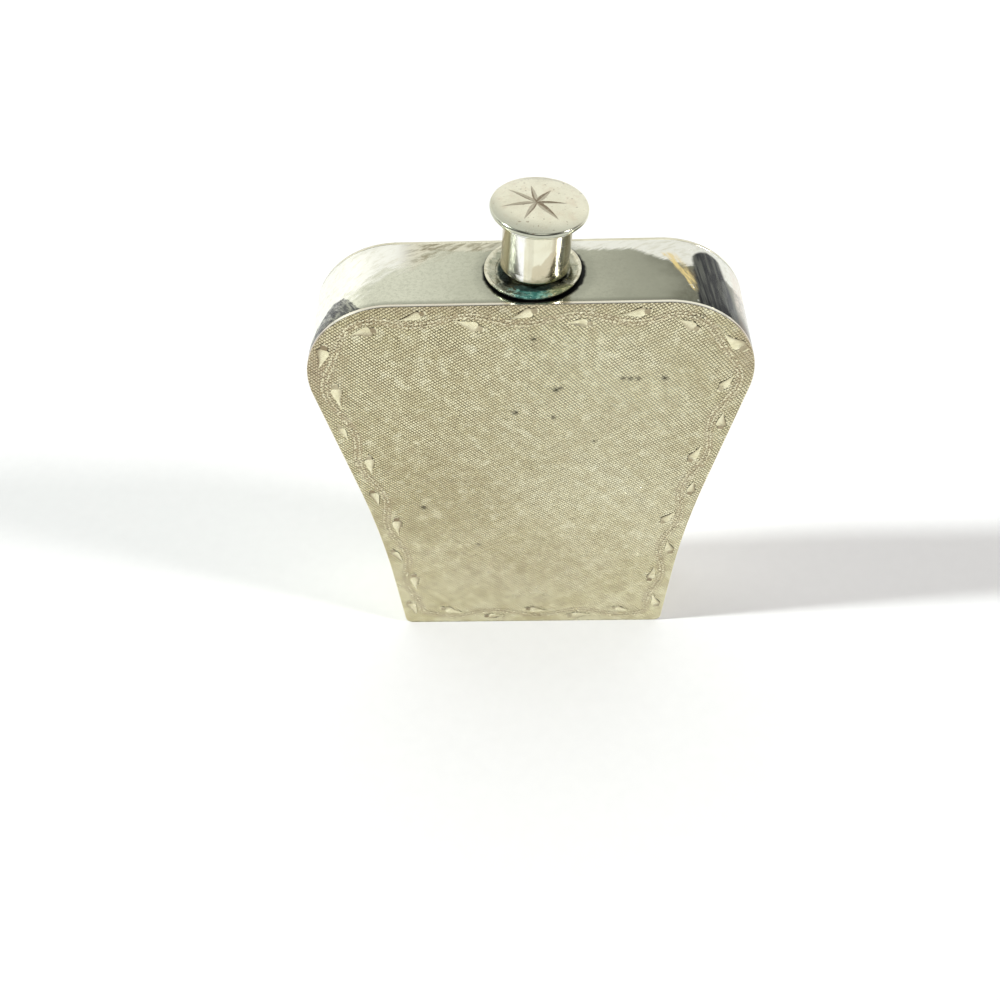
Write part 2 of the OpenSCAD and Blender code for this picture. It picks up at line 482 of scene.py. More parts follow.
def engraved_material():
    """The hatched front: bright ridges, dark grooves, warm and cool patches, a painted highlight in streaks where
    it looks lit, and tarnish where it is stored.
    """
    s = Shader("engraved_silver", Metallic=1.0)
    height = s.z
    rise = s.noise((30, 60, 120), 4.0, 0.6, (0, -32, 0))
    fall = s.noise((34, 60, 150), 4.0, 0.6, (0, 47, 0))
    clouds = (rise + fall) * 0.5
    patches = s.band(clouds, 0.38, 0.62)
    fine = s.noise(1100, 3.0, 0.65)
    groove, lit, rim = s.values("groove"), s.values("lit"), s.values("rim")
    ridge = s.mix(patches, RIDGE_LIGHT, RIDGE_DULL)
    slope = s.mix(patches, SLOPE_LIGHT, SLOPE_DULL)
    soft = s.band(height, 0.0, 0.055, 0.35, 1.0)
    s.colour = s.mix(s.band(groove, 0.05, 0.45) * soft, ridge, slope)
    # Painted highlight: the lit parts are coated pale, broken into streaks
    streaks = s.band(s.noise((60, 60, 1500), 4.0, 0.65, (0, 47, 0)), 0.34, 0.64, 0.45, 1.0)
    streaks = streaks * s.band(s.noise(240, 4.0, 0.6), 0.36, 0.62, 0.6, 1.0)
    s.coat(lit * streaks, PAINTED_HIGHLIGHT)
    worn = s.band(clouds, 0.36, 0.58, 1.0, 0.78) * s.band(height, 0.005, 0.06, 0.42, 1.0)
    s.coat(s.band(groove, 0.4, 0.88) * worn, GROOVE)
    s.coat(s.band(fine, 0.42, 0.72, 0, 0.22), (0.5, 0.44, 0.26))
    mottle = s.noise(320, 5.0, 0.75)
    s.coat(s.band(mottle, 0.48, 0.64, 0.0, 0.4), (0.46, 0.385, 0.235))
    s.coat(s.band(mottle, 0.34, 0.48, 0.45, 0.0), (1.0, 0.97, 0.74))
    # A little more painted highlight over all the lit parts
    s.coat(lit * 0.22, PAINTED_HIGHLIGHT)
    rubs = s.scratches((0, -32, 0), 3500, 60, 0.6, 0.72)
    rubs = s.either(rubs, s.scratches((0, 58, 0), 3000, 70, 0.62, 0.72))
    s.coat(rubs * 0.4, (1.0, 0.95, 0.7))
    s.coat(rim, (0.95, 0.93, 0.82))
    s.coat(s.values("brown"), (0.4, 0.3, 0.2))
    s.coat(s.values("pit"), (0.02, 0.018, 0.014))
    s.roughness = s.band(clouds + fine * 0.4, 0.4, 1.0, 0.25, 0.39)
    s.roughness = s.roughness - rim * 0.18
    s.emboss(fine, 0.3, FINE_BUMP)
    return s.finish()


def cut_material():
    """Bright-cut facets of the border, polished by the graver, with some tarnish left in them and painted shade on
    one wall of each cut.
    """
    s = Shader("bright_cut_silver", Metallic=1.0)
    clouds = s.noise(700, 3.0, 0.6)
    grain = s.noise((900, 5000, 5000), 2.0, 0.5, (0, -25, 0))
    s.colour = s.mix(s.band(clouds, 0.35, 0.7), (0.98, 0.94, 0.68), (0.88, 0.83, 0.57))
    s.coat(s.band(grain, 0.45, 0.7, 0.0, 0.35), (0.6, 0.54, 0.34))
    # Painted shade on the dark wall of each leaf and in the scoop past it, with tarnish in the cuts and dashes
    s.coat(s.values("dirt_and_shade"), (0.27, 0.21, 0.13))
    s.roughness = s.band(clouds, 0.3, 0.7, 0.22, 0.38)
    s.emboss(grain, 0.25, FINE_BUMP)
    return s.finish()


def band_material():
    """Polished wrap-round band, darker to the right.

    It is rubbed pale along the back edge and at the left end, where the pale is a painted highlight. Its darkening
    to the right, a dark tapering patch at the front of the left shoulder and dark streaks on the right shoulder
    are painted reflections, and a painted shadow rings the collar.
    The right shoulder has gold staining, a painted pale sheen on its outer side and a brown outer edge.
    """
    s = plated_metal("polished_band", (0.7, 0.7, 0.56), (0.6, 0.6, 0.46), (0.09, 0.17), 70, 0.12)
    x, y, z = s.x, s.y, s.z
    # Painted reflection: the top is lighter at the left and darker to the right
    along = s.shaken(x, s.noise(120, 4.0, 0.6), 0.012)
    s.colour = s.mix(s.band(along, -0.025, -0.004), (0.72, 0.73, 0.59), (0.54, 0.55, 0.43))
    s.coat(s.band(along, 0.000, 0.026), (0.33, 0.335, 0.26))
    s.coat(s.band(along, 0.022, 0.031), (0.17, 0.17, 0.125))
    s.coat(s.band(y, -0.0088, -0.0078, 0.45, 0.0), (0.14, 0.145, 0.11))
    s.coat(s.band(s.noise(1500, 4.0, 0.75), 0.42, 0.68, 0.0, 0.3), (0.3, 0.31, 0.24))
    # Rubbed metal with a painted highlight: everything near the back edge, and the left end up to a slanting line
    ragged = s.noise((160, 900, 900), 4.0, 0.65, (0, 0, 35))
    uneven = (ragged - 0.5) * 0.02
    slant = x * -1.0 + y * 1.6 + uneven
    strip = y + s.band(x, 0.018, 0.029, 0.0, 0.0045) + uneven * 0.15
    rubbed = s.either(s.band(slant, 0.022, 0.031), s.band(strip, 0.0058, 0.007, 0.0, 0.85))
    mottle = s.noise((350, 1400, 1400), 4.0, 0.7, (0, 0, 28))
    strokes = s.noise((500, 6000, 6000), 3.0, 0.6, (0, 0, 28))
    pale = s.mix(s.band(mottle, 0.45, 0.72), (1.0, 1.0, 0.92), (0.82, 0.81, 0.69))
    tan = s.mix(s.band(mottle, 0.4, 0.6), (0.34, 0.305, 0.2), (0.78, 0.75, 0.6))
    # Painted highlight: the rubbed strip is coated pale, and tan over part of its length
    s.coat(rubbed, s.mix(s.between(x, -0.026, -0.02, -0.004, 0.003), pale, tan))
    s.roughen(rubbed * 0.2)
    s.emboss(strokes * rubbed, 0.5, 0.00006)
    # Painted dark reflection: a scratchy wedge at the front of the left shoulder
    wedge_top = s.band(x, -0.0355, -0.029, -0.0035, -0.0105) - s.band(x, -0.042, -0.036, 0.0035, 0.0)
    reflected_wedge = wedge_top - (y + uneven * 0.1)
    shoulder = s.band(z + uneven * 0.3, 0.079, 0.083)
    reflected_wedge = s.band(reflected_wedge, -0.0002, 0.0003) * s.below(x, -0.0295, -0.0285) * shoulder
    scuffs = s.noise((4000, 400, 700), 3.0, 0.65, (0, 35, 20))
    s.coat(reflected_wedge * s.band(scuffs, 0.4, 0.65, 0.95, 0.55), (0.05, 0.053, 0.056))
    # Painted shadow: a black ring round the collar's foot, with a grey halo beyond it
    speckle = s.noise(650, 3.0, 0.6)
    edge = s.shaken(s.around(COLLAR_X + 0.25), speckle, 0.0009)
    near_top = s.band(z, (TOP - 2) * MM, (TOP - 1) * MM)
    collar_shadow = s.below(edge, 0.0094, 0.01) * near_top
    shadow_halo = s.band(edge, 0.0098, 0.0125, 0.35, 0.0) * near_top
    s.coat(shadow_halo, (0.2, 0.21, 0.16))
    s.coat(collar_shadow, (0.01, 0.011, 0.01))
    # Gold stain running forwards and outwards at the start of the right shoulder
    drip = s.noise((1600, 240, 800), 3.0, 0.6, (0, 0, 25))
    off = s.shaken(x - 0.029 + y * 0.47, drip, 0.003)
    flecks = s.band(s.noise(1300, 1.0, 0.4), 0.66, 0.7)
    # The gold, a scorch beside it and pale flecks in front: the middle, half width, ends, strength and tone
    for middle, half, ends, strength, tone in (
            (0.0, (0.0006, 0.0015), (-0.0065, -0.0045, 0.0042, 0.0055), s.band(drip, 0.36, 0.62, 0.19, 0.95),
             (0.86, 0.68, 0.3)),
            (0.0017, (0.0003, 0.0011), (-0.0085, -0.0065, 0.0005, 0.003), s.band(drip, 0.4, 0.6, 0.1, 0.85),
             (0.16, 0.12, 0.065)),
            (-0.0004, (0.001, 0.002), (-0.0095, -0.0085, -0.005, -0.0035), flecks, (0.98, 0.97, 0.93))):
        beside = s.below(s.math("ABSOLUTE", off - middle), *half)
        s.coat(beside * strength * s.between(y, *ends), tone)
    # Painted dark reflection in streaks over the shoulder, a pale gap, brown towards the front of the outer side,
    # and a painted pale sheen behind it
    streak = s.noise((1500, 90, 1500), 3.0, 0.6, (0, 0, 8))
    outer = s.band(y, -0.01, 0.01, 0.0392, 0.0362)
    wobble = uneven * 0.05
    dark = s.band(x + wobble, 0.0306, 0.0314) * s.below(x - outer, -0.0004, 0.0006)
    off_middle = (x - 0.0345) * 300.0
    rounded = 0.0076 - off_middle * off_middle * 0.0026
    dark = dark * s.below(y + wobble - rounded, -0.0003, 0.0005)
    reflected_dark = s.mix(s.band(streak, 0.42, 0.62), (0.022, 0.024, 0.026), (0.11, 0.115, 0.1))
    s.coat(dark * shoulder, reflected_dark)
    outermost = s.band(x, 0.0385, 0.0395)
    s.coat(outermost * s.band(y, -0.0075, -0.0045, 0.85, 0.0), (0.11, 0.075, 0.05))
    # Painted highlight: a pinkish pale sheen on the outer side behind the brown
    pale_sheen = outermost * s.band(mottle, 0.4, 0.6, 0.25, 0.7)
    s.coat(pale_sheen * s.band(y, -0.006, -0.003), (0.8, 0.7, 0.6))
    # The flanks below the shoulders are evenly worn, brushed along their length
    brushed = s.noise((2600, 3600, 110), 3.0, 0.6)
    flank = s.mix(s.band(brushed, 0.38, 0.68), (0.74, 0.725, 0.58), (0.56, 0.54, 0.405))
    flank = s.mix(s.band(mottle, 0.5, 0.75, 0.0, 0.4), flank, (0.42, 0.39, 0.28))
    s.coat(s.below(z, 0.07, 0.083), flank)
    s.roughen(collar_shadow * 0.3)
    return s.finish()


def collar_material():
    """The saucer: cream lip, sloping inside, tarnish teal in front and olive at the right, with painted shade:
    black in the well behind, dark at the stem's foot and a black ring under the lip.
    """
    s = plated_metal("tarnished_collar", (0.88, 0.86, 0.7), (0.62, 0.59, 0.43), (0.16, 0.3), 500, 0.1)
    x, y, z = s.x, s.y, s.z
    speckle = s.noise(900, 5.0, 0.7)
    blotch = s.noise(300, 3.0, 0.6)
    out = s.shaken(s.around(COLLAR_X), speckle, 0.0014)
    # Tarnish climbs over the lip in front and stays in the well behind, where the well is also painted dark as
    # shade
    front = s.below(s.shaken(y, blotch, 0.004), -0.0058, -0.0034)
    fill = s.below(out - (0.0066 + front * 0.0028), -0.0003, 0.0004)
    filled_front = front * fill
    slope = s.band(out, 0.008, 0.0086, 0.85, 0.0) * s.band(speckle, 0.34, 0.62, 1.0, 0.45)
    s.coat(slope, (0.25, 0.27, 0.19))
    # Painted shade: the well behind is near black, with a tarnish tint
    s.coat(fill * (1.0 - front), (0.02, 0.034, 0.024))
    ragged_x = s.shaken(x, s.noise(1300, 5.0, 0.75), 0.012)
    left = s.band(ragged_x, (COLLAR_X - 5.2) * MM, (COLLAR_X - 1.8) * MM)
    crust = filled_front * s.band(left, 0.0, 1.0, 0.12, 1.0)
    grey = filled_front * (1.0 - left)
    s.coat(grey * s.band(blotch, 0.35, 0.6, 0.9, 0.4), (0.13, 0.15, 0.11))
    side = s.band(ragged_x, (COLLAR_X + 0.6) * MM, (COLLAR_X + 4.4) * MM)
    teal_tone = s.mix(s.band(speckle, 0.44, 0.6), (0.035, 0.17, 0.145), (0.25, 0.55, 0.46))
    teal_tone = s.mix(s.band(s.noise(2600, 2.0, 0.5), 0.66, 0.72), teal_tone, (0.62, 0.74, 0.62))
    olive_tone = s.mix(s.band(speckle, 0.4, 0.62), (0.16, 0.19, 0.09), (0.55, 0.52, 0.28))
    s.coat(crust, s.mix(side, teal_tone, olive_tone))
    # Painted shade at the stem's foot, along with dark tarnish spots
    stem_foot_shade = s.band(out, 0.0063, 0.0068, 0.9, 0.0)
    dark_spots_and_shade = crust * s.either(s.band(blotch, 0.32, 0.4, 0.6, 0.0), stem_foot_shade)
    s.coat(dark_spots_and_shade, (0.02, 0.035, 0.03))
    dirt_and_shade = s.band(speckle, 0.5, 0.68) * s.band(out, 0.0072, 0.0088, 0.7, 0.2)
    s.coat(dirt_and_shade * (1.0 - fill), (0.26, 0.25, 0.16))
    # Painted shadow: a black ring low on the lip's outside, where it meets the band
    lip_shadow = s.below(z, (TOP + 0.35) * MM, (TOP + 0.75) * MM)
    s.coat(lip_shadow * s.band(out, 0.0084, 0.0087), (0.012, 0.013, 0.011))
    s.put(s.out, {"Metallic": 1.0 - crust * 0.85})
    s.roughen(crust * 0.15)
    s.emboss(speckle * fill, 0.6, 0.0003)
    return s.finish()


def cap_material():
    """The cap's top: bright rubbed silver with brown dirt in its cuts and specks round them, one side of each ray
    painted darker as shade, and a painted grey-green reflection over the front of the dome.
    """
    s = plated_metal("polished_cap", (0.9, 0.88, 0.71), (0.8, 0.775, 0.61), (0.12, 0.2), 160, 0.04)
    s.coat(s.band(s.noise(420, 4.0, 0.65), 0.46, 0.7, 0.0, 0.42), (0.74, 0.63, 0.48))
    # Painted reflection: a grey-green crescent over the front of the dome
    back = s.y - 2.6 * MM
    away = s.length(s.x - (NECK_POINT[0] + 2.2) * MM, back)
    crescent_reflection = s.band(away, 7.8 * MM, 11.6 * MM) * s.band(back, -0.002, 0.001, 1.0, 0.4)
    s.coat(crescent_reflection, (0.52, 0.53, 0.43))
    s.coat(s.band(s.noise(1900, 2.0, 0.5), 0.68, 0.73, 0.0, 0.75), (0.28, 0.21, 0.15))
    # Brown dirt in the star's cuts, with one side of each ray painted darker as shade
    dirt_and_shade = s.values("dirt_and_shade")
    s.coat(dirt_and_shade * s.band(s.noise(2500, 3.0, 0.6), 0.2, 0.55, 0.65, 0.95), (0.24, 0.185, 0.125))
    s.roughen(dirt_and_shade * 0.3)
    return s.finish()


# Painted reflections, as upright dark and white stripes on the stem: from and to, in millimetres across it, how
# strong, and their colour
STEM_REFLECTIONS = [
    (-6.8, -5.2, 0.75, (0.36, 0.3, 0.19)), (-4.7, -2.4, 0.95, (1.0, 1.0, 0.97)),
    (-1.6, -0.8, 0.25, (0.5, 0.47, 0.36)), (2.7, 3.1, 0.5, (0.4, 0.33, 0.22)),
    (3.6, 4.4, 0.85, (0.98, 0.97, 0.93)), (5.0, 6.8, 0.75, (0.33, 0.28, 0.19)),
]


def stem_material():
    """The cap's tube: bright, with upright brown and white stripes painted as reflections, a pink patch and a
    tarnished foot.
    """
    s = plated_metal("polished_stem", (0.82, 0.8, 0.64), (0.72, 0.68, 0.51), (0.1, 0.2), 220, 0.12)
    x, y, z = s.x, s.y, s.z
    streak = s.noise((900, 900, 60), 3.0, 0.6)
    speckle = s.noise(900, 4.0, 0.7)
    height = s.shaken(z - TOP * MM, speckle, 0.0022)
    # Across the stem, along with its lean
    x = s.shaken(x - NECK_POINT[0] * MM, streak, 0.0012) - height * 0.07
    # Stripes are strongest on the front of the stem and fade behind, as the painted reflections do
    facing = s.band(y, -0.0008, 0.0004, 1.0, 0.35)

    def stripe(low, high, amount):
        limits = (low - 0.3, low + 0.1, high - 0.1, high + 0.3)
        return s.between(x, *(edge * MM for edge in limits)) * amount * facing

    for low, high, amount, tone in STEM_REFLECTIONS:
        s.coat(stripe(low, high, amount), tone)
    patch_top = s.band(x, -0.0006, 0.0034, 0.0058, 0.0088)
    patch = stripe(-0.7, 3.3, 0.7) * s.below(height - patch_top, -0.0004, 0.0002)
    s.coat(patch, (0.55, 0.48, 0.33))
    olive = stripe(2.6, 6.6, 0.8) * s.below(height, 0.004, 0.0056)
    s.coat(olive * s.band(speckle, 0.4, 0.6), (0.2, 0.2, 0.11))
    s.coat(s.band(s.noise((900, 900, 260), 4.0, 0.7), 0.5, 0.7, 0.0, 0.3), (0.5, 0.46, 0.33))
    s.coat(s.band(height, 0.0021, 0.0034, 0.7, 0.0), (0.2, 0.2, 0.12))
    return s.finish()


def plain_material(name, bright, dull, rough, patch_scale):
    """Worn plain plate with brushed lines one way and stray scratches."""
    s = plated_metal(name, bright, dull, rough, patch_scale, 0.15, ((0, 12, 0), (0, 71, 0), (0, -40, 0)))
    brushed = s.noise((120, 900, 5200), 3.0, 0.6, (0, 4, 0))
    stray = s.either(s.scratches((0, 38, 0), 2400, 60, 0.62, 0.7),
                     s.scratches((0, -64, 0), 2900, 75, 0.63, 0.71))
    spots = s.band(s.noise(850, 3.0, 0.6), 0.66, 0.74, 0.0, 0.55)
    for cover, shade in ((s.band(brushed, 0.4, 0.68, 0.0, 0.5), 0.88), (stray * 0.45, 0.62), (spots, 0.42)):
        s.coat(cover, tuple(shade * c for c in dull))
    s.emboss(brushed, 0.12, 0.00005)
    return s.finish()


def thread_material():
    """Bare nickel silver of the threads, yellower, with dark patches in clouds."""
    s = Shader("bare_thread", Metallic=1.0)
    clouds = s.noise(700, 4.0, 0.6)
    turned = s.noise((300, 300, 14000), 1.0, 0.4)
    s.colour = s.mix(s.band(clouds, 0.35, 0.7), (0.62, 0.53, 0.33), (0.26, 0.21, 0.12))
    s.roughness = s.band(clouds, 0.3, 0.7, 0.28, 0.5)
    s.emboss(turned, 0.2, FINE_BUMP)
    return s.finish()


def cork_material():
    """Pressed cork: grains of two browns with dark pores."""
    s = Shader("pressed_cork", Metallic=0.0)
    cells = s.add("TexVoronoi", {"feature": "F1"}, Vector=s.place, Scale=1100.0)
    pores = s.band(s.noise(1500, 4.0, 0.7), 0.62, 0.7)
    s.colour = s.mix(cells.outputs["Color"], (0.42, 0.25, 0.12), (0.62, 0.41, 0.23))
    s.coat(pores, (0.13, 0.07, 0.035))
    s.roughness = s.band(s.noise(600), 0.3, 0.7, 0.75, 0.95)
    s.emboss(cells.outputs["Distance"] - pores, 0.5, 0.0001)
    return s.finish()


# --- front plate

HATCH_PITCH = 0.585
HATCH_DEEP = 130.5
HATCH_LIGHT = 30.2
HATCH_PEAK = 0.015
HATCH_DEPTH = 0.105
RIDGE_HALF = 0.29
SPARE_LINES = 22
LINE_WANDER = 0.035
POINT_WANDER = 0.012
BEVEL = 0.17
# The plate's edge: inset and depth, and how bright each line of it is rubbed
RIM_PROFILE = [(0.11, 0.012), (0.05, 0.06), (0.0, 0.18), (0.0, SHEET - 0.06), (0.05, SHEET)]
RIM_BRIGHT = [0.25, 1.0, 1.0, 0.7, 0.7]
LEAF_EDGE = 0.12
DASH_REACH = 0.3
DASH_PITCH = 0.72
DASH_SHIFT = 0.18
DASH_LONG = 0.42
DASH_WIDE = 0.22
# The part of the dashes that is gone
WORN_AWAY = 0.12
PIT_DEPTH = 0.1
BORDER_INSET = 3.5
BORDER_CORNER = 5.5
LEAVES = 30
LEAF_OUT = 1.2
WAVE = 1.1
LINE_GAP = 0.85

border = Path(BORDER_INSET, BORDER_CORNER)
leaf_gap = border.length / LEAVES
FIRST_LEAF = -1.1


def leaf_place(k):
    """Where leaf k sits, which way it points, and whether it turns out (1) or in (-1)."""
    side = 1 if k % 2 == 0 else -1
    s = FIRST_LEAF + k * leaf_gap
    point, forward, outward = border.at(s, side * LEAF_OUT)
    return point, forward, outward, side


def ribbon_out(s):
    """How far the ribbon's middle lies outside the border's path."""
    return -WAVE * math.cos(math.pi * (s - FIRST_LEAF) / leaf_gap)


# A leaf cut: its two edges and the valley between them, forward and outward from its middle,
# then a scoop past its end
LEAF_LOW = [(-2.6, -0.1), (-1.8, -0.34), (-0.9, -0.58), (0, -0.84), (0.8, -0.98), (1.35, -0.86), (1.6, -0.5),
            (2.1, -0.52), (2.6, -0.36)]
LEAF_FOLD = [(-2.6, -0.1), (-1.7, -0.16), (-0.8, -0.12), (0, 0.0), (0.6, 0.05), (1.1, 0.1), (1.5, 0.1),
             (2.2, 0.1), (2.8, 0.08)]
LEAF_HIGH = [(-2.6, -0.1), (-1.7, 0.04), (-0.8, 0.28), (0, 0.6), (0.7, 0.92), (1.3, 0.98), (1.65, 0.62),
             (2.2, 0.64), (2.7, 0.44)]
LEAF_DEPTH = [0.0, 0.06, 0.11, 0.16, 0.19, 0.17, 0.04, 0.13, 0.0]
SCOOP_FROM = 18


def refine(values):
    """Points between those given, on a smooth curve through them."""
    values = np.asarray(values, dtype=float)
    if values.ndim == 1:
        values = values[:, None]
    n = len(values)
    result = []
    for i in range(n - 1):
        p0, p1, p2, p3 = (values[max(0, min(n - 1, i + d))] for d in (-1, 0, 1, 2))
        for t in (0, 1 / 3, 2 / 3):
            result.append(0.5 * (2 * p1 + (p2 - p0) * t + (2 * p0 - 5 * p1 + 4 * p2 - p3) * t * t
                                 + (3 * p1 - p0 - 3 * p2 + p3) * t ** 3))
    result.append(values[-1])
    return np.array(result)


def leaf_curves(k):
    """The edges and valley of leaf k on the plate, with its depths."""
    point, forward, outward, side = leaf_place(k)
    size = 0.98 + 0.24 * rng.random()
    lean = math.radians(rng.uniform(-16, 12) + 8 * side)
    skew = rng.uniform(0.75, 1.15, 2)
    turned = forward * math.cos(lean) + outward * math.sin(lean)
    across = -forward * math.sin(lean) + outward * math.cos(lean)
    curves = []
    for curve in (LEAF_LOW, LEAF_FOLD, LEAF_HIGH):
        local = refine(curve) * size
        local[:, 1] *= np.where(local[:, 1] > 0, skew[0], skew[1])
        curves.append(point + local[:, :1] * turned + local[:, 1:] * across * side)
    return curves, refine(LEAF_DEPTH)[:, 0] * size


leaves = [leaf_curves(k) for k in range(LEAVES)]


def leaf_polygon(curves):
    loop = np.vstack([curves[0], curves[2][::-1]])
    area = np.sum(loop[:, 0] * np.roll(loop[:, 1], -1) - np.roll(loop[:, 0], -1) * loop[:, 1])
    return loop if area > 0 else loop[::-1]


def dash_places():
    """Centre, direction and side of each dash in the ribbon's two lines."""
    places = []
    count = int(border.length / DASH_PITCH)
    for i in range(count):
        s = i * border.length / count
        slope = (ribbon_out(s + 0.1) - ribbon_out(s - 0.1)) / 0.2
        for side in (-1, 1):
            out = ribbon_out(s) + side * LINE_GAP / 2
            point, forward, outward = border.at(s + DASH_SHIFT * side, out)
            places.append((point, forward + outward * slope, i, side))
    return places


dashes = dash_places()

PITS = [(-3.0, 71.5, 0.55), (5.0, 77.5, 0.5), (5.9, 77.9, 0.4), (18.0, 80.3, 0.4), (19.4, 80.1, 0.45),
        (21.0, 80.2, 0.4), (26.0, 80.2, 0.5), (30.4, 95.3, 0.4), (31.8, 95.4, 0.4), (-23.5, 43.0, 0.55),
        (4.6, 70.0, 0.4), (0.8, 90.5, 0.4), (13.0, 63.0, 0.35), (-12.0, 30.0, 0.35)]


# Where the plate is lit and where it is tarnished: strength, then middle and spread across and up
BROWN = [(0.5, 42, 3.5, 88, 8), (0.5, -41, 4, 84, 10), (0.3, -10, 34, 98.5, 1.8), (0.1, -18, 14, 46, 14),
         (0.2, -2, 24, 20, 14)]


def blob(x, z, strength, mid_x, wide, mid_z, tall):
    return strength * np.exp(-((x - mid_x) / wide) ** 2 - ((z - mid_z) / tall) ** 2)


def highlight_and_patina(x, z):
    """Stored looks of the plate by place: lit areas for a painted highlight, and brown tarnish, each 0 to 1."""
    along, across = (x - 15) + 0.9 * (z - 48), (z - 48) - 0.9 * (x - 15)
    lit = blob(along, across, 0.8, 0, 28, 0, 34) + blob(x, z, 0.55, 18, 19, 82, 14)
    return np.clip(lit, 0, 1), np.clip(sum(blob(x, z, *spot) for spot in BROWN), 0, 1)


def hatched_cells(rim):
    """The hatching's crossed ridges, one cell to a crossing.

    Returns the points, their depth and how far down a groove each lies, the whole faces, and those that the
    rim may cut.
    """
    light, deep = math.radians(HATCH_LIGHT), math.radians(HATCH_DEEP)
    step = HATCH_PITCH / math.sin(deep - light)
    u, v = (step * np.array(polar(a)) for a in (light, deep))
    half = int(np.hypot(WIDTH, TOP) / 2 / step) + SPARE_LINES
    index = np.arange(-half, half + 1)
    shift_i = index + rng.normal(0, LINE_WANDER, len(index))
    shift_j = index + rng.normal(0, LINE_WANDER, len(index))
    corner = np.array([0.0, TOP / 2]) + shift_i[:, None, None] * u + shift_j[None, :, None] * v
    corner = corner + rng.normal(0, POINT_WANDER, corner.shape)
    inside = signed_distance(corner.reshape(-1, 2), rim).reshape(corner.shape[:2])
    line_depth = rng.uniform(0.8, 1.15, len(index))
    own_depth = rng.uniform(0.75, 1.15, inside.shape)
    corner_y = HATCH_PEAK + HATCH_DEPTH * (0.6 * line_depth[:, None] + 0.4 * own_depth)

    made, faces, cut, number = [], [], [], {}

    def vertex(key, point, y, dark):
        if key not in number:
            number[key] = len(made)
            made.append((*point, y, dark))
        return number[key]

    around = [inside[:-1, :-1], inside[1:, :-1], inside[1:, 1:], inside[:-1, 1:]]
    near, far = np.minimum.reduce(around), np.maximum.reduce(around)
    for i, j in zip(*np.nonzero(far > -0.5)):
        quad = [(i, j), (i + 1, j), (i + 1, j + 1), (i, j + 1)]
        c = [vertex(q, corner[q], corner_y[q], rng.uniform(0.85, 1.0)) for q in quad]
        middle = (corner[quad[0]] + corner[quad[2]]) / 2
        lift = HATCH_PEAK * rng.uniform(0.4, 1.6)
        tip = lift + 0.006 * rng.random()
        worn_down = 0.3 * rng.random(2) ** 3
        a = vertex(("a", i, j), middle - RIDGE_HALF * v + rng.normal(0, POINT_WANDER, 2), lift, worn_down[0])
        b = vertex(("b", i, j), middle + RIDGE_HALF * v + rng.normal(0, POINT_WANDER, 2), tip, worn_down[1])
        cell = [(c[1], c[2], b), (c[1], b, a), (c[3], c[0], a), (c[3], a, b), (c[0], c[1], a), (c[2], c[3], b)]
        (faces if near[i, j] > 0.05 else cut).extend(cell)
    made = np.array(made)
    return made[:, :2], made[:, 2], made[:, 3], faces, cut


def sink(points, depth, groove):
    """Lowers the plate under each leaf, dash and pit; returns each point's share of a pit and the ribbon."""
    for curves, _ in leaves:
        loop = leaf_polygon(curves)
        box = np.all((points > loop.min(0) - 0.1) & (points < loop.max(0) + 0.1), axis=1)
        rows = np.nonzero(box)[0]
        deep = signed_distance(points[rows], loop)
        rows, deep = rows[deep > LEAF_EDGE], deep[deep > LEAF_EDGE]
        depth[rows] = 0.06 + np.minimum(0.3, 0.6 * deep)
        groove[rows] = 0.3
    centres = np.array([d[0] for d in dashes])
    beyond_border = whole_outline(BORDER_INSET + WAVE + 1.2, BORDER_CORNER + 1)
    rows = np.nonzero(signed_distance(points, beyond_border) < 0)[0]
    near_ribbon = np.zeros(len(points))
    for start in range(0, len(rows), 2000):
        some = rows[start:start + 2000]
        gap = np.linalg.norm(points[some][:, None] - centres[None], axis=2).min(1)
        near_ribbon[some] = np.clip(1.6 - gap / 0.45, 0, 1)
        depth[some] = np.where(gap < DASH_REACH, np.maximum(0.04, depth[some]), depth[some])
    pit = np.zeros(len(points))
    for x, z, size in PITS:
        gap = np.linalg.norm(points - [x, z], axis=1)
        pit = np.maximum(pit, np.clip(2.0 - gap / size * 1.3, 0, 1) * rng.uniform(0.4, 1.0, len(points)))
    depth += PIT_DEPTH * pit
    return pit, near_ribbon


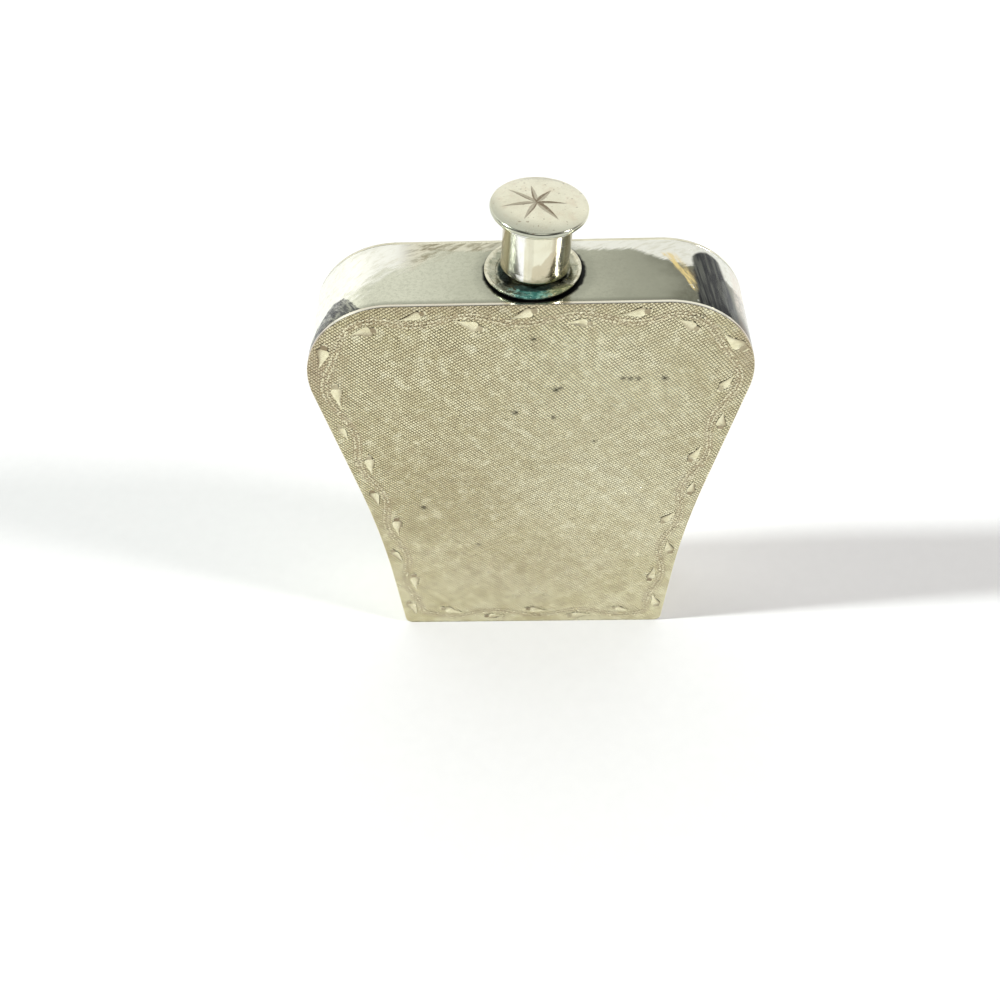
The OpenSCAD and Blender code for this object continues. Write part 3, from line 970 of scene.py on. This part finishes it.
def build_front_plate():
    """The hatched sheet, cut to the outline, with a bevelled edge and a flat back."""
    rim = whole_outline(BEVEL)
    points, depth, groove, faces, cut = hatched_cells(rim)
    pit, near_ribbon = sink(points, depth, groove)
    reach = signed_distance(points, rim)
    # Each row: x, z, depth, groove, pit, ribbon
    rows = [tuple(row) for row in np.column_stack([points, depth, groove, pit, near_ribbon])]
    crossing = {}

    def cross(a, b):
        key = (min(a, b), max(a, b))
        if key not in crossing:
            t = reach[a] / (reach[a] - reach[b])
            crossing[key] = len(rows)
            rows.append((*(np.array(rows[a][:4]) * (1 - t) + np.array(rows[b][:4]) * t), 0, 0))
        return crossing[key]

    # Cells on the edge are cut along the bevel's inner line, and each cut edge carries the rim
    border_edges = []
    for face in cut:
        kept, marks = [], []
        for a, b in zip(face, face[1:] + face[:1]):
            if reach[a] > 0:
                kept.append(a)
            if (reach[a] > 0) != (reach[b] > 0):
                kept.append(cross(a, b))
                marks.append(kept[-1])
        if len(kept) > 2:
            faces.append(tuple(kept))
        if len(marks) == 2:
            here = [kept.index(m) for m in marks]
            border_edges.append(tuple(marks if (here[1] - here[0]) % len(kept) == 1 else marks[::-1]))

    loops = [whole_outline(inset) for inset, _ in RIM_PROFILE]
    edge_ids = sorted(set(i for e in border_edges for i in e))
    edge = np.roll(rim, -1, axis=0) - rim
    size2 = np.maximum((edge ** 2).sum(1), 1e-12)
    partner = {}
    rim_from = len(rows)
    for vert in edge_ids:
        p = np.array(rows[vert][:2])
        t = np.clip(((p - rim) * edge).sum(1) / size2, 0, 1)
        foot = rim + t[:, None] * edge
        k = np.linalg.norm(foot - p, axis=1).argmin()
        rows[vert] = (*foot[k], *rows[vert][2:])
        partner[vert] = ([vert] + [len(rows) + n for n in range(len(loops))], k + t[k])
        m = (k + 1) % len(rim)
        rows += [(*(loop[k] * (1 - t[k]) + loop[m] * t[k]), y, 0, 0, 0)
                 for loop, (_, y) in zip(loops, RIM_PROFILE)]
    smooth_from = len(faces)
    for a, b in border_edges:
        one, two = partner[a][0], partner[b][0]
        faces += [(two[k], one[k], one[k + 1], two[k + 1]) for k in range(len(loops))]
    around = sorted(edge_ids, key=lambda i: partner[i][1])
    faces.append(tuple(partner[i][0][-1] for i in around)[::-1])

    used = np.zeros(len(rows), dtype=bool)
    used[[i for face in faces for i in face]] = True
    renumber = np.cumsum(used) - 1
    faces = [tuple(int(renumber[i]) for i in face) for face in faces]
    rim_part = np.zeros(len(rows))
    rim_part[rim_from:] = np.tile(RIM_BRIGHT, len(edge_ids))
    rim_part = rim_part[used]
    x, z, depth, groove, pit, near_ribbon = np.array(rows)[used].T
    verts = np.column_stack([x, FRONT + depth, z])
    obj = make_object("front_plate_engraved", verts, faces, "engraved_plate", "flask", ["front_plate"],
                      engraved_material(), smooth=False, closed=False)
    mesh = obj.data
    lit, brown = highlight_and_patina(x, z)
    # Painted glints: a few points are lit brighter at random
    lit = np.clip(lit + 0.5 * rng.random(len(lit)) ** 6, 0, 1)
    edge_stain = 0.85 * np.clip((np.abs(x) - 35.5) / 3.5, 0, 1)
    brown = np.maximum.reduce([brown, edge_stain * rim_part, 0.44 * near_ribbon])
    for name, part in (("lit", lit), ("brown", brown), ("pit", pit), ("groove", groove), ("rim", rim_part)):
        set_values(mesh, name, part)
    # Only the bevel and the sides are smooth
    smooth = np.zeros(len(mesh.polygons), dtype=bool)
    smooth[smooth_from:-1] = True
    mesh.polygons.foreach_set("use_smooth", smooth)
    mesh.set_sharp_from_angle(angle=math.radians(20))
    mesh.polygons.foreach_set("use_smooth", smooth)
    mesh.update()


def build_border():
    """The bright-cut leaves and the dashed ribbon, cut into the plate's surface."""
    verts, faces, dirt_and_shade = [], [], []
    for curves, deep in leaves:
        low, fold, high = curves
        start = len(verts)
        n = len(low)
        # Painted shade: each leaf is light along its low edge and dark along its high edge and in the scoop past
        # its end; its last edge is left light
        lit_wall, dull = rng.uniform(0.0, 0.2), rng.uniform(0.6, 0.95)
        flat = 0 * deep
        strips = ((low, flat, lit_wall), (fold, deep, 0.6 * lit_wall + 0.2 * dull), (high, flat, dull))
        for curve, down, wall_shade in strips:
            verts += [(p[0], FRONT + d, p[1]) for p, d in zip(curve, down)]
            dirt_and_shade += [wall_shade] * SCOOP_FROM + [dull] * (n - SCOOP_FROM - 2) + [0.1] * 2
        for i in range(n - 1):
            for one in (start + i, start + n + i):
                faces.append((one, one + 1, one + n + 1, one + n))
    leaf_mesh = make_object("border_leaves", verts, faces, "engraved_plate", "flask", (), cut_material(),
                            smooth=False, closed=False)
    set_values(leaf_mesh.data, "dirt_and_shade", dirt_and_shade)

    verts, faces, dirt_and_shade = [], [], []
    for point, along, i, side in dashes:
        if rng.random() < WORN_AWAY:
            continue
        along = along / np.linalg.norm(along)
        point = point + rng.normal(0, 0.05, 2)
        turn, rise = polar(math.radians((24 if i % 2 else -24) + rng.uniform(-8, 8)))
        along = np.array([along[0] * turn - along[1] * rise, along[0] * rise + along[1] * turn])
        across = np.array([-along[1], along[0]])
        long, wide = DASH_LONG * rng.uniform(0.65, 1.15), DASH_WIDE * rng.uniform(0.7, 1.25)
        worn = rng.uniform(0.0, 0.25)
        start = len(verts)
        for a, c, d in ((-1, 0, 0.0), (-0.2, 1, 0.0), (1, 0, 0.0), (-0.2, -1, 0.0), (0.1, 0.1, 0.03)):
            p = point + along * a * long + across * c * wide
            verts.append((p[0], FRONT + d, p[1]))
            dirt_and_shade.append(worn if d == 0 else min(1.0, worn + 0.2))
        faces += [(start + k, start + (k + 1) % 4, start + 4) for k in range(4)]
    ribbon = make_object("border_ribbon", verts, faces, "engraved_plate", "flask", (),
                         bpy.data.materials["bright_cut_silver"], smooth=False, closed=False)
    set_values(ribbon.data, "dirt_and_shade", dirt_and_shade)


build_front_plate()
build_border()

# --- band, back and base

BASE_SEAM = 3.0
# How far the band's and base's edges are rounded
EDGE_ROUND = 0.08
NECK_R = 4.85
PATCH = 12.0
PATCH_RINGS = 8


def build_back_plate():
    sections = [(0.05, BAND_BACK), (0.0, BAND_BACK + 0.06), (0.0, BACK - 0.2), (0.03, BACK - 0.09),
                (0.1, BACK - 0.02), (BEVEL, BACK)]
    verts, n = at_depths(whole_outline, sections)
    faces = rings_joined(len(sections), n) + [tuple(range(n)), tuple(range(len(verts) - n, len(verts)))]
    material = plain_material("plain_back", (0.8, 0.775, 0.62), (0.745, 0.715, 0.555), (0.16, 0.26), 130)
    make_object("back_plate_sheet", verts, faces, "plain_plate", "flask", ["back_plate"], material)


def build_band():
    """The wrapped strip, open between its ends under the base, with the neck's hole in its top."""
    base_half = half_outline(0)[0, 0] - BASE_SEAM

    def open_loop(inset):
        side = half_outline(inset)
        right = np.vstack([[base_half, inset], side, [PATCH, TOP - inset]])
        return np.vstack([right, right[::-1] * [-1, 1]])

    # Round the outside from front to back, as (inset, depth), then back along the inside
    front, back = BAND_FRONT + EDGE_ROUND, BAND_BACK - EDGE_ROUND
    outer = [(0.06, BAND_FRONT), (0.015, BAND_FRONT + 0.02)]
    outer += [(0.0, y) for y in (front, *np.linspace(front, back, 7)[1:-1], back)]
    outer += [(0.015, BAND_BACK - 0.02), (0.06, BAND_BACK)]
    sections = outer + [(SHEET, BAND_BACK), (SHEET, BAND_FRONT)]
    verts, n = at_depths(open_loop, sections)
    faces = []
    gap = n // 2 - 1
    # The outer and inner faces stay open across the top, where the patches with the hole fill them
    level = [i for i in range(len(outer) - 1) if outer[i][0] == 0 and outer[i + 1][0] == 0] + [len(outer)]
    for i in range(len(sections)):
        j = (i + 1) % len(sections)
        for k in range(n - 1):
            if k == gap and i in level:
                continue
            faces.append((i * n + k, i * n + k + 1, j * n + k + 1, j * n + k))
    for end in (0, n - 1):
        faces.append(tuple(i * n + end for i in range(len(sections))))

    def patch(z, low, high):
        """A rectangle of the top with the neck's hole in it, as rings from the hole outwards."""
        corners = [math.atan2(b, a) for a in (-PATCH, PATCH) for b in (low, high)]
        angles = sorted(set(np.linspace(-math.pi, math.pi, 96, endpoint=False)) | set(corners))
        hole_x = NECK_POINT[0] + NECK_AXIS[0] * (z - TOP)
        v = []
        for t in np.arange(PATCH_RINGS + 1) / PATCH_RINGS:
            for a in angles:
                edge_y = high if math.sin(a) > 0 else low
                by_x = PATCH / abs(math.cos(a)) if abs(math.cos(a)) > 1e-9 else 1e9
                by_y = edge_y / math.sin(a) if abs(math.sin(a)) > 1e-9 else 1e9
                r = NECK_R + (min(by_x, by_y) - NECK_R) * t
                v.append((hole_x * (1 - t) + r * math.cos(a), r * math.sin(a), z))
        return v, rings_joined(PATCH_RINGS + 1, len(angles))

    upper = patch(TOP, front, back)
    lower = patch(TOP - SHEET, BAND_FRONT, BAND_BACK)
    # The hole's wall joins the first ring of the two patches
    a, b, m = len(verts), len(verts) + len(upper[0]), len(upper[0]) // (PATCH_RINGS + 1)
    wall = [(a + k, a + (k + 1) % m, b + (k + 1) % m, b + k) for k in range(m)]
    verts, faces = joined((verts, faces), upper, lower)
    make_object("side_band_sheet", verts, faces + wall, "polished_band", "flask", ["side_band"], band_material())


def build_base():
    half = half_outline(0)[0, 0] - BASE_SEAM
    low, high = np.array([-half, BAND_FRONT, 0.0]), np.array([half, BAND_BACK, SHEET])
    shell = bmesh.new()
    bmesh.ops.create_cube(shell, size=1.0)
    for v in shell.verts:
        for axis in range(3):
            v.co[axis] = (low[axis] + high[axis]) / 2 + v.co[axis] * (high[axis] - low[axis])
    bmesh.ops.bevel(shell, geom=shell.edges[:], offset=EDGE_ROUND, segments=2, affect="EDGES")
    verts = [tuple(v.co) for v in shell.verts]
    shell.verts.index_update()
    faces = [tuple(v.index for v in f.verts) for f in shell.faces]
    shell.free()
    material = plain_material("rubbed_base", (0.66, 0.63, 0.48), (0.46, 0.42, 0.3), (0.26, 0.45), 90)
    make_object("base_sheet", verts, faces, "base_metal", "flask", ["base_plate"], material)


build_back_plate()
build_band()
build_base()

# --- neck and collar

NECK_TOP = 9.6
BORE_R = 4.1
NECK_FOOT_R = 6.2
NECK_FOOT_T = 0.8
NECK_SINK = 1.2
THREAD_RISE = 0.45
THREAD_GAP = 0.12


def build_neck():
    saucer = filleted([
        (NECK_R + 0.03, 0, 0), (COLLAR_R - 0.35, 0, 0.05), (COLLAR_R, 0.72, 0.2), (COLLAR_R - 0.03, 1.0, 0.14),
        (COLLAR_R - 0.5, 1.0, 0.14), (COLLAR_R - 0.8, 0.78, 0.25), (7.0, 0.52, 0.1), (6.95, 0.35, 0.12),
        (NECK_R + 0.03, 0.35, 0),
    ])
    make_object("collar_saucer", *upright(revolve(saucer), COLLAR_X), "tarnished_collar", "flask", ["neck_collar"],
                collar_material())
    flange = filleted([
        (BORE_R + 0.1, -SHEET - NECK_FOOT_T, 0.1), (NECK_FOOT_R, -SHEET - NECK_FOOT_T, 0.15),
        (NECK_FOOT_R, -SHEET, 0.05), (BORE_R + 0.1, -SHEET, 0),
    ])
    spout = filleted([
        (BORE_R, -NECK_SINK, 0), (NECK_R, -NECK_SINK, 0), (NECK_R, NECK_TOP, 0.15), (BORE_R, NECK_TOP, 0.15),
    ])
    ridge = helix(NECK_R - 0.3, NECK_R + THREAD_RISE)
    parts = joined(upright(revolve(flange, 96), NECK_POINT[0]), on_neck(joined(revolve(spout, 96), ridge)))
    make_object("neck_spout", *parts, "thread_metal", "flask", ["neck_tube"], thread_material())


# --- cap

CAP_R = 8.9
RIM_TOP = 14.6
DOME_RISE = 0.9
RIM_T = 1.1
RIM_ROUND = 0.45
UNDER_T = 0.5
RIM_FOOT = RIM_TOP - RIM_T
STEM_TOP = RIM_FOOT - UNDER_T
STEM_R = 6.35
STEM_BORE = 5.9
STEM_FOOT = 1.95
SLEEVE_FOOT, SLEEVE_TOP = 2.6, 9.4
CORK_GAP = 0.02
# The star's rays: angle, length and half width
STAR = [(1, 5.5, 0.4), (55, 4.7, 0.62), (100, 5.4, 0.48), (141, 6.6, 0.46), (190, 6.4, 0.46), (245, 5.3, 0.5),
        (310, 6, 0.66)]
RAY_STEPS = (0.22, 0.34, 0.5, 0.66, 0.82, 0.93)
# How far a ray's fold lies off its middle, as a part of its half width
FOLD_OFF = 0.15
STAR_CENTRE = Vector((-0.6, -0.6))
RAY_WIDEST = 0.38
STAR_HUB = 0.55
STAR_DEPTH = 0.15
CLEAR_OF_RAYS = 0.78


def ray_width(step, half):
    """Half the width of a star ray a part of the way along it."""
    if step < RAY_WIDEST:
        return half * (0.65 + 0.35 * step / RAY_WIDEST)
    return half * (1 - (step - RAY_WIDEST) / (1 - RAY_WIDEST)) ** 0.8


def dome(r):
    """Height of the cap's dome above the body's top: nearly flat, then rolling down to the rim."""
    return RIM_TOP + DOME_RISE * (1 - (np.asarray(r) / (CAP_R - RIM_ROUND)) ** 3)


def build_cap_top():
    """The dome with its star: each ray is a blade-shaped cut, widest a third of the way out."""
    segments = 144
    edge_r = CAP_R - RIM_ROUND
    coords, edges, down = [], [], []

    def add(p, deep=0.0):
        coords.append(Vector(p))
        down.append(deep)
        return len(coords) - 1

    def line(points):
        edges.extend(zip(points[:-1], points[1:]))

    ring = [add(polar(2 * math.pi * k / segments, edge_r)) for k in range(segments)]
    line(ring + ring[:1])
    hub = add(STAR_CENTRE, STAR_DEPTH)
    notches = []
    for i, (a, _, _) in enumerate(STAR):
        following = STAR[(i + 1) % len(STAR)][0] + (360 if i == len(STAR) - 1 else 0)
        mid = math.radians((a + following) / 2)
        notches.append(add(STAR_CENTRE + STAR_HUB * Vector(polar(mid)), 0.03))
    star_lines = []
    for i, (a, length, half) in enumerate(STAR):
        way = Vector(polar(math.radians(a)))
        across = Vector((-way.y, way.x))
        tip = add(STAR_CENTRE + way * length)
        star_lines.append((STAR_CENTRE, STAR_CENTRE + way * length))
        sides = {side: [add(STAR_CENTRE + way * length * step + across * side * ray_width(step, half))
                        for step in RAY_STEPS] for side in (-1, 1)}
        fold = [add(STAR_CENTRE + way * length * step + across * FOLD_OFF * half, STAR_DEPTH * (1 - step) ** 0.6)
                for step in RAY_STEPS]
        line([notches[i - 1]] + sides[-1] + [tip])
        line([notches[i]] + sides[1] + [tip])
        line([hub] + fold + [tip])
    for r in np.arange(0.35, edge_r - 0.1, 0.3):
        count = max(8, int(2 * math.pi * r / 0.32))
        for k in range(count):
            a = 2 * math.pi * (k + 0.37 * (count % 2)) / count
            p = Vector(polar(a, r))
            close = min((p - (s + (e - s) * max(0, min(1, (p - s).dot(e - s) / (e - s).length_squared)))).length
                        for s, e in star_lines)
            if close > CLEAR_OF_RAYS:
                add(p)
    points, _, tris, origin, _, _ = delaunay_2d_cdt(coords, edges, [], 0, 1e-5)
    low = np.array([down[o[0]] if o else 0.0 for o in origin])
    flat = np.array([tuple(p) for p in points])
    z = dome(np.minimum(np.linalg.norm(flat, axis=1), edge_r)) - low
    top_verts = [(x, y, h) for (x, y), h in zip(flat, z)]

    rim = [(edge_r, float(dome(edge_r)))]
    rim += [tuple(p) for p in arc(edge_r, RIM_TOP - RIM_ROUND, RIM_ROUND, 72, 0, 8)]
    rim += [tuple(p) for p in arc(edge_r, RIM_FOOT + RIM_ROUND, RIM_ROUND, 0, -90, 8)]
    rim += [(3.0, RIM_FOOT), (0, RIM_FOOT)]
    rim_verts, rim_faces = revolve(rim, segments)
    rim_faces = [f for f in rim_faces if not (len(rim_verts) - 1 in f and min(f) < segments)]
    part = on_neck(joined((top_verts, tris), (rim_verts, rim_faces)))
    obj = make_object("cap_dome", *part, "cap_metal", "cap", ["cap_top_plate"], cap_material(), sharp=24)

    # Each face inside a ray is marked for brown dirt, and the side past the fold is marked darker as painted shade
    upright = NECK_AXIS.rotation_difference(Vector((0, 0, 1))).to_matrix()
    cut = np.zeros(len(obj.data.polygons))
    for polygon in obj.data.polygons:
        place = upright @ (polygon.center / MM - NECK_POINT)
        if place.z < RIM_TOP:
            continue
        here = Vector(place[:2]) - STAR_CENTRE
        for angle, length, half in STAR:
            way = Vector(polar(math.radians(angle)))
            step, across = here.dot(way) / length, here.dot(Vector((-way.y, way.x)))
            if 0 < step < 1 and abs(across) < ray_width(step, half):
                cut[polygon.index] = max(cut[polygon.index], 1.0 if across > FOLD_OFF * half else 0.6)
        if here.length < 0.75 * STAR_HUB:
            cut[polygon.index] = 0.9
    layer = obj.data.attributes.new("dirt_and_shade", "FLOAT", "FACE")
    layer.data.foreach_set("value", cut.astype(np.float32))


def build_cap_body():
    under_r = CAP_R - 0.5
    second = filleted([(0, STEM_TOP, 0), (under_r - 0.1, STEM_TOP, 0.18), (under_r, STEM_TOP + 0.2, 0.1),
                       (under_r, RIM_FOOT, 0.1), (0, RIM_FOOT, 0)])
    make_object("cap_second_plate", *on_neck(revolve(second)), "cap_metal", "cap", ["cap_under_plate"],
                stem_material())
    wall = [
        (STEM_BORE, STEM_FOOT, 0.08), (STEM_R + 0.14, STEM_FOOT, 0.1), (STEM_R + 0.2, 2.1, 0.1),
        (STEM_R + 0.05, 3.15, 0.8), (STEM_R, 5.0, 0.5), (STEM_R, STEM_TOP - 0.95, 0.3),
        (STEM_R + 0.12, STEM_TOP - 0.35, 0.25),
        (STEM_R + 0.55, STEM_TOP, 0), (STEM_BORE, STEM_TOP, 0),
    ]
    make_object("cap_tube", *on_neck(revolve(filleted(wall))), "cap_metal", "cap", ["cap_stem"],
                bpy.data.materials["polished_stem"])
    bore = NECK_R + THREAD_RISE + THREAD_GAP
    sleeve = filleted([(r, z, 0.1) for r, z in ((bore, SLEEVE_FOOT), (STEM_BORE, SLEEVE_FOOT),
                                                (STEM_BORE, SLEEVE_TOP), (bore, SLEEVE_TOP))])
    ridge = helix(bore + 0.15, NECK_R + THREAD_GAP, math.pi)
    make_object("cap_threads", *on_neck(joined(revolve(sleeve, 96), ridge)), "thread_metal", "cap",
                ["cap_thread_sleeve"], bpy.data.materials["bare_thread"])


def build_cork():
    """Cork disc with the ring that the neck's rim has pressed into it."""
    r = STEM_BORE - 0.3
    profile = filleted([
        (0, NECK_TOP + 0.03, 0), (BORE_R - 0.35, NECK_TOP + 0.03, 0.1), (BORE_R - 0.1, NECK_TOP + 0.14, 0.1),
        (NECK_R + 0.1, NECK_TOP + 0.14, 0.1), (NECK_R + 0.3, NECK_TOP + 0.03, 0.1), (r, NECK_TOP + 0.05, 0.2),
        (r, STEM_TOP - CORK_GAP, 0.1), (0, STEM_TOP - CORK_GAP, 0),
    ])
    make_object("cork_disc", *on_neck(revolve(profile, 96)), "cork", "cap_liner", ["cork_liner"], cork_material())


build_neck()
build_cap_top()
build_cap_body()
build_cork()

# --- floor, light and camera

# Metres, and the way from the flask to the soft light
FLOOR_HALF = 3.0
LAMP_WAY = (0.1, -0.45, 0.88)
CAMERA_PLACE = (-0.0002, -0.1737, 0.2322)
CAMERA_RIGHT = (0.9996, 0.0075, -0.0285)
CAMERA_WAY = (-0.0264, 0.659, -0.7517)


def build_floor():
    mesh = bpy.data.meshes.new("floor")
    corners = [(x * FLOOR_HALF, y * FLOOR_HALF, 0) for x, y in ((-1, -1), (1, -1), (1, 1), (-1, 1))]
    mesh.from_pydata(corners, [], [(0, 1, 2, 3)])
    floor = placed("floor", mesh)
    s = Shader("white_paper")
    s.put(s.out, {"Specular IOR Level": 0.1})
    grain = s.noise(300, 3.0, 0.6)
    s.colour = s.mix(grain, (0.86, 0.86, 0.86), (0.9, 0.9, 0.9))
    s.roughness = s.band(grain, 0.3, 0.7, 0.75, 0.9)
    mesh.materials.append(s.finish())


def sun(name, direction, strength, spread, colour):
    """A distant lamp shining along a direction."""
    data = bpy.data.lights.new(name, "SUN")
    data.energy = strength
    data.angle = math.radians(spread)
    data.color = colour
    placed(name, data).rotation_euler = Vector(direction).to_track_quat("-Z", "Y").to_euler()


def build_world():
    """A studio for the metal to show: dark low down, bright at the left, grey behind, a soft light above.

    The camera itself sees plain pale grey beyond the floor.
    """
    world = bpy.data.worlds.new("room")
    scene.world = world
    world.use_nodes = True
    world.node_tree.nodes.clear()
    w = Nodes(world.node_tree)
    way = w.add("TexCoord").outputs["Generated"]
    x, y, z = w.add("SeparateXYZ", Vector=way).outputs
    low_down = w.band(z, 0.0, 0.12, 0.6, 1.0)
    left = w.band(x, -0.6, -0.42, 1.2, 0.92)
    behind = low_down * left * (w.band(y, 0.0, 0.42, 0.22, 1.0) * w.band(y, -0.1, 0.02))
    towards = w.add("VectorMath", {"operation": "DOT_PRODUCT"})
    w.put(towards, {0: way, 1: Vector(LAMP_WAY).normalized()})
    lamp = w.band(towards.outputs["Value"], 0.945, 0.98, 0.0, 1.3)
    grey = behind + (w.band(y, -0.1, 0.02, 0.1, 0.0) + lamp)
    tint = w.add("CombineColor", Red=grey, Green=grey, Blue=grey * 0.97)
    sky = w.add("Background", Color=tint.outputs[0])
    plain = w.add("Background", Color=(0.82, 0.82, 0.81, 1.0))
    choose = w.add("MixShader")
    w.put(choose, {0: w.add("LightPath").outputs["Is Camera Ray"], 1: sky.outputs[0], 2: plain.outputs[0]})
    w.add("OutputWorld", Surface=choose.outputs[0])


def build_camera():
    data = bpy.data.cameras.new("camera")
    data.sensor_width = 36.0
    data.lens = 41.4
    data.clip_start = 0.01
    camera = placed("camera", data)
    right, forward = Vector(CAMERA_RIGHT).normalized(), Vector(CAMERA_WAY).normalized()
    up = right.cross(forward).normalized()
    right = forward.cross(up)
    turn = Matrix((right, up, -forward)).transposed().to_4x4()
    camera.matrix_world = Matrix.Translation(CAMERA_PLACE) @ turn
    scene.camera = camera


build_floor()
build_world()
sun("window_left", (1.0, 0.08, -0.9), 2.3, 4.0, (0.955, 1.0, 0.985))
sun("window_right", (-1.0, 0.28, -0.75), 1.28, 8.0, (1.0, 0.96, 0.97))
build_camera()
scene.view_settings.view_transform = "Standard"
